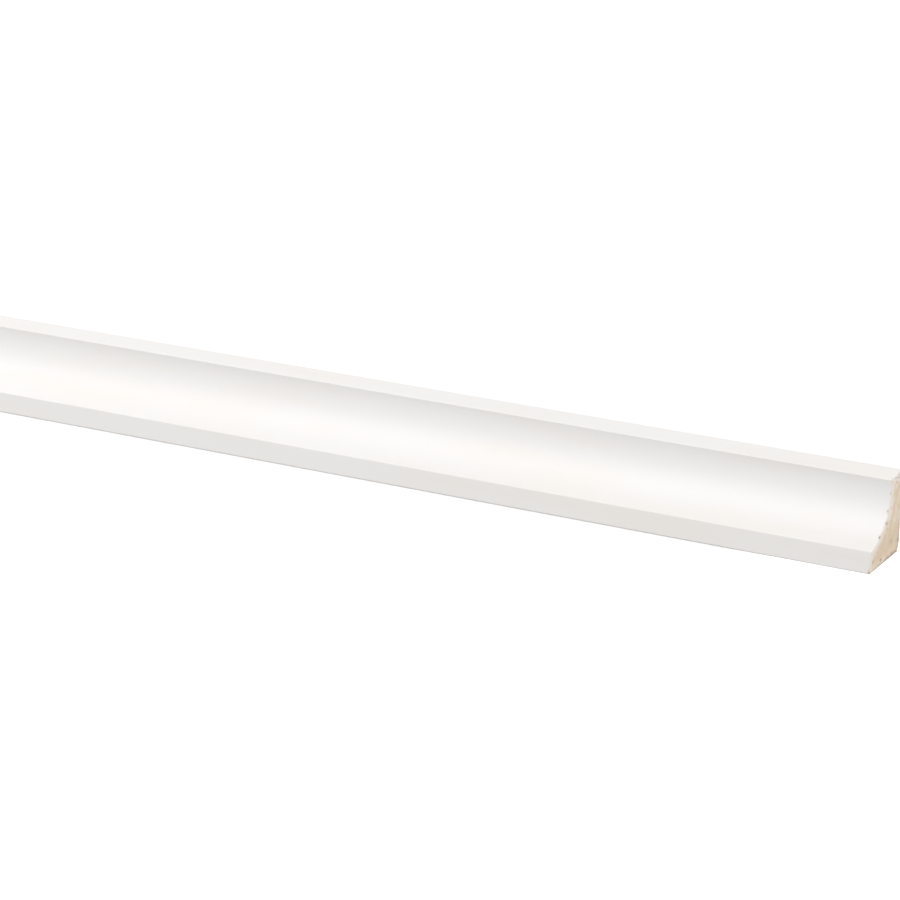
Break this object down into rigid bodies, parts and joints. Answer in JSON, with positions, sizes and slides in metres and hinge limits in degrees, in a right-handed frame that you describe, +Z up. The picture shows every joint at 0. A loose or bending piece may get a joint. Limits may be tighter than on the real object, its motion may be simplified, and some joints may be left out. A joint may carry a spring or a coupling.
{
  "type": "cove moulding",
  "caption": "Straight length of white-primed softwood cove moulding: a concave quarter hollow between two narrow flats, sawn square at both ends.",
  "frame": {"origin": "centre of the underside: the bottom centre of the moulding's box", "axes": "+X along the length towards the end that the picture shows, +Y towards the wall face, -Y towards the hollow, +Z up from the underside to the top flat"},
  "size_m": [0.285, 0.02, 0.0219],
  "materials": {
    "primed_softwood": "white primer with a low sheen on the long faces, bare sawn pine end grain on the two cut ends"
  },
  "bodies": {
    "root": {"cove_moulding": "primed_softwood"}
  },
  "joints": []
}
